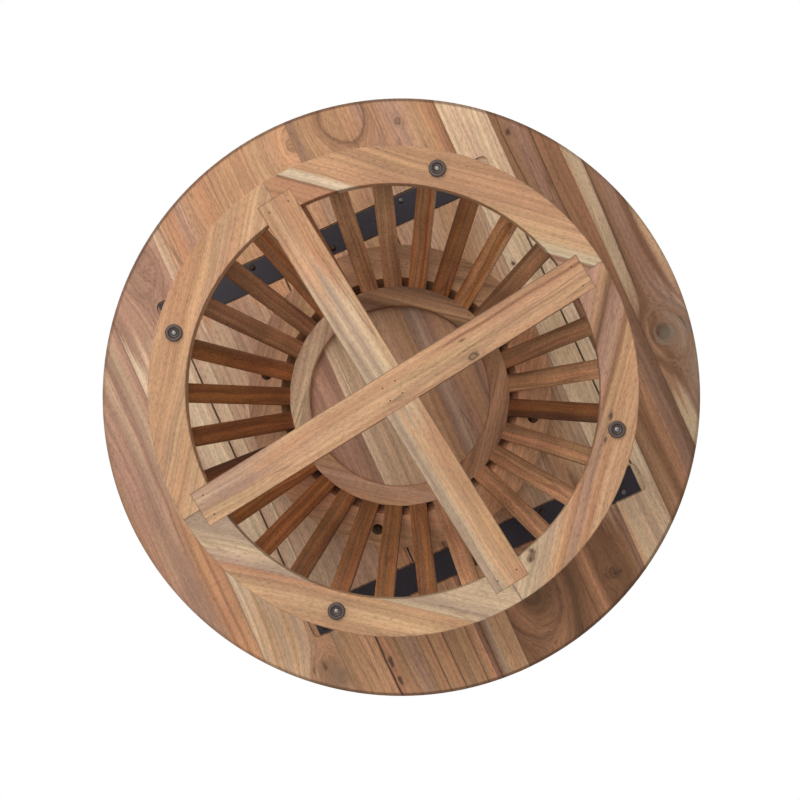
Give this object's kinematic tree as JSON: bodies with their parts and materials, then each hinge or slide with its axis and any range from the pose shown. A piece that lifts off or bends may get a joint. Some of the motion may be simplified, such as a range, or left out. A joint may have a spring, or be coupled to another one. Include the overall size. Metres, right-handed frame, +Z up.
{
  "type": "round coffee table",
  "caption": "Low round solid-wood coffee table: plank top with steel battens under it, on a flared drum of leaning slats between a hub and a foot ring with crossed braces.",
  "frame": {"origin": "on the floor, under the middle of the table", "axes": "+Z up, +Y along the planks of the top, +X along the steel battens"},
  "size_m": [0.8, 0.8, 0.38],
  "materials": {
    "top_wood": "oiled acacia",
    "base_wood": "oiled acacia",
    "slat_wood": "oiled acacia",
    "batten_steel": "satin black",
    "screw_steel": "blackened",
    "brad_steel": "dull",
    "glide_plastic": "moulded"
  },
  "bodies": {
    "root": {"top_plank_1": "top_wood", "top_plank_2": "top_wood", "top_plank_3": "top_wood", "top_plank_4": "top_wood", "top_plank_5": "top_wood", "top_plank_6": "top_wood", "top_plank_7": "top_wood", "top_plank_8": "top_wood", "top_plank_9": "top_wood", "hub_ring_segment_1": "base_wood", "hub_ring_segment_2": "base_wood", "hub_ring_segment_3": "base_wood", "hub_ring_segment_4": "base_wood", "mounting_ring_segment_1": "base_wood", "mounting_ring_segment_2": "base_wood", "mounting_ring_segment_3": "base_wood", "mounting_ring_segment_4": "base_wood", "foot_ring_segment_1": "base_wood", "foot_ring_segment_2": "base_wood", "foot_ring_segment_3": "base_wood", "foot_ring_segment_4": "base_wood", "cross_brace_1": "base_wood", "cross_brace_2": "base_wood", "base_plate": "base_wood", "slat_01": "slat_wood", "slat_02": "slat_wood", "slat_03": "slat_wood", "slat_04": "slat_wood", "slat_05": "slat_wood", "slat_06": "slat_wood", "slat_07": "slat_wood", "slat_08": "slat_wood", "slat_09": "slat_wood", "slat_10": "slat_wood", "slat_11": "slat_wood", "slat_12": "slat_wood", "slat_13": "slat_wood", "slat_14": "slat_wood", "slat_15": "slat_wood", "slat_16": "slat_wood", "slat_17": "slat_wood", "slat_18": "slat_wood", "slat_19": "slat_wood", "slat_20": "slat_wood", "slat_21": "slat_wood", "slat_22": "slat_wood", "slat_23": "slat_wood", "slat_24": "slat_wood", "slat_25": "slat_wood", "slat_26": "slat_wood", "slat_27": "slat_wood", "slat_28": "slat_wood", "slat_29": "slat_wood", "steel_batten_1": "batten_steel", "steel_batten_2": "batten_steel", "batten_screws": "screw_steel", "base_screws": "screw_steel", "glide_screws": "screw_steel", "brace_brads": "brad_steel", "foot_glides": "glide_plastic"}
  },
  "joints": []
}
